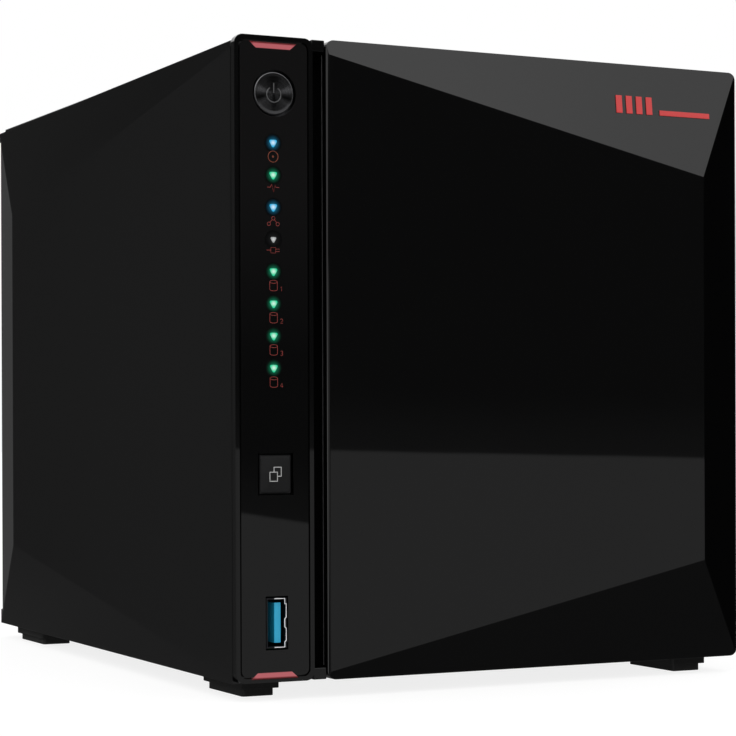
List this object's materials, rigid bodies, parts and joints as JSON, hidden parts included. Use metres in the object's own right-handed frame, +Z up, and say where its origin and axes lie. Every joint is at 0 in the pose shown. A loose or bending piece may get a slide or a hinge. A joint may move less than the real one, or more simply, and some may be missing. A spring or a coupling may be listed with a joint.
{
  "type": "network storage enclosure",
  "caption": "Upright desktop enclosure for drives, with a magnetic faceted front cover, pull-out trays, an indicator strip and a rear fan.",
  "frame": {"origin": "on the floor, under the middle of the case's width and depth", "axes": "+X to the right seen from the front, +Y from the front cover to the rear panel, +Z up"},
  "size_m": [0.17, 0.23, 0.1855],
  "materials": {
    "case_gloss": "high-gloss black moulded plastic",
    "case_matte": "fine matt black moulded plastic",
    "foot_rubber": "matt black rubber",
    "rear_paint": "black powder-coated sheet steel",
    "sheet_steel": "zinc-plated sheet steel",
    "screw_steel": "plated steel",
    "screw_black": "blackened steel",
    "tray_plastic": "dark grey glass-filled plastic",
    "lever_plastic": "charcoal plastic, satin",
    "board_green": "green solder mask on glass-fibre laminate",
    "part_black": "black moulding compound",
    "heatsink_aluminium": "extruded aluminium, satin",
    "post_brass": "turned brass",
    "port_steel": "bright nickel-plated steel",
    "port_blue": "blue moulded plastic",
    "trim_red": "glossy red plastic",
    "lens_gloss": "black smoked acrylic, polished",
    "light_clear": "clear light guide, lit from behind",
    "button_metal": "dark spun metal cap",
    "button_matte": "matt dark grey plastic",
    "magnet_nickel": "nickel-plated magnet",
    "fan_plastic": "black fan plastic, satin",
    "motor_copper": "enamelled copper winding",
    "cable_grey": "grey flexible insulation"
  },
  "bodies": {
    "case": {"left_side_panel": "case_gloss", "right_side_panel": "case_gloss", "top_panel": "case_gloss", "bottom_panel": "case_matte", "rubber_feet": "foot_rubber", "rear_panel": "rear_paint", "io_plate": "rear_paint", "case_screws": "screw_steel", "cage_left_wall": "sheet_steel", "cage_right_wall": "sheet_steel", "cage_floor": "sheet_steel", "cage_roof": "sheet_steel", "tray_guides": "tray_plastic", "backplane": "board_green", "sata_connectors": "part_black", "mainboard": "board_green", "board_parts": "part_black", "heatsink": "heatsink_aluminium", "standoffs": "post_brass", "board_screws": "screw_steel", "lan_port": "port_steel", "rear_usb_shells": "port_steel", "rear_usb_tongues": "port_blue", "dc_jack": "part_black", "fan_frame": "fan_plastic", "fan_motor": "motor_copper", "fan_screws": "screw_black", "fan_lead": "cable_grey", "front_bezel": "case_matte", "keeper_plates": "screw_steel", "strip_housing": "case_gloss", "strip_lens": "lens_gloss", "accent_bars": "trim_red", "light_pipes": "light_clear", "front_io_board": "board_green", "tact_switches": "part_black", "front_usb_shell": "port_steel", "front_usb_tongue": "port_blue", "signal_cable": "cable_grey"},
    "cover": {"front_cover": "case_gloss", "cover_back": "case_matte", "cover_magnets": "magnet_nickel", "cover_badge": "trim_red"},
    "fan": {"fan_rotor": "fan_plastic"},
    "power_key": {"power_button": "button_metal"},
    "copy_key": {"copy_button": "button_matte"},
    "reset_key": {"reset_button": "button_matte"},
    "tray_1": {"tray_1_frame": "tray_plastic", "tray_1_front": "case_matte"},
    "lever_1": {"tray_1_lever": "lever_plastic"},
    "tray_2": {"tray_2_frame": "tray_plastic", "tray_2_front": "case_matte"},
    "lever_2": {"tray_2_lever": "lever_plastic"},
    "tray_3": {"tray_3_frame": "tray_plastic", "tray_3_front": "case_matte"},
    "lever_3": {"tray_3_lever": "lever_plastic"},
    "tray_4": {"tray_4_frame": "tray_plastic", "tray_4_front": "case_matte"},
    "lever_4": {"tray_4_lever": "lever_plastic"}
  },
  "joints": [
    {"name": "cover_pull", "type": "slide", "parent": "case", "child": "cover", "axis": [0, -1, 0], "range_m": [0, 0.25]},
    {"name": "tray_1_slide", "type": "slide", "parent": "case", "child": "tray_1", "axis": [0, -1, 0], "range_m": [0, 0.136]},
    {"name": "tray_1_lever_swing", "type": "hinge", "parent": "tray_1", "child": "lever_1", "pos_m": [-0.036, -0.0986, 0.072], "axis": [1, 0, 0], "range_deg": [0, 60]},
    {"name": "tray_2_slide", "type": "slide", "parent": "case", "child": "tray_2", "axis": [0, -1, 0], "range_m": [0, 0.136]},
    {"name": "tray_2_lever_swing", "type": "hinge", "parent": "tray_2", "child": "lever_2", "pos_m": [-0.00365, -0.0986, 0.072], "axis": [1, 0, 0], "range_deg": [0, 60]},
    {"name": "tray_3_slide", "type": "slide", "parent": "case", "child": "tray_3", "axis": [0, -1, 0], "range_m": [0, 0.136]},
    {"name": "tray_3_lever_swing", "type": "hinge", "parent": "tray_3", "child": "lever_3", "pos_m": [0.0287, -0.0986, 0.072], "axis": [1, 0, 0], "range_deg": [0, 60]},
    {"name": "tray_4_slide", "type": "slide", "parent": "case", "child": "tray_4", "axis": [0, -1, 0], "range_m": [0, 0.136]},
    {"name": "tray_4_lever_swing", "type": "hinge", "parent": "tray_4", "child": "lever_4", "pos_m": [0.06105, -0.0986, 0.072], "axis": [1, 0, 0], "range_deg": [0, 60]},
    {"name": "fan_spin", "type": "hinge", "parent": "case", "child": "fan", "pos_m": [0.008, 0.1, 0.113], "axis": [0, 1, 0], "continuous": true},
    {"name": "power_press", "type": "slide", "parent": "case", "child": "power_key", "axis": [0, 1, 0], "range_m": [0, 0.0008], "stiffness_N_per_m": 500, "springref_m": -0.001},
    {"name": "copy_press", "type": "slide", "parent": "case", "child": "copy_key", "axis": [0, 1, 0], "range_m": [0, 0.0008], "stiffness_N_per_m": 500, "springref_m": -0.001},
    {"name": "reset_press", "type": "slide", "parent": "case", "child": "reset_key", "axis": [0, -1, 0], "range_m": [0, 0.0006], "stiffness_N_per_m": 500, "springref_m": -0.001}
  ],
  "couplings": [
    {"joint": "tray_1_slide", "follows": "cover_pull", "ratio": 0.54},
    {"joint": "tray_1_lever_swing", "follows": "cover_pull", "rad_per_m": 4.18},
    {"joint": "tray_2_slide", "follows": "cover_pull", "ratio": 0.54},
    {"joint": "tray_2_lever_swing", "follows": "cover_pull", "rad_per_m": 4.18},
    {"joint": "tray_3_slide", "follows": "cover_pull", "ratio": 0.54},
    {"joint": "tray_3_lever_swing", "follows": "cover_pull", "rad_per_m": 4.18},
    {"joint": "tray_4_slide", "follows": "cover_pull", "ratio": 0.54},
    {"joint": "tray_4_lever_swing", "follows": "cover_pull", "rad_per_m": 4.18}
  ]
}
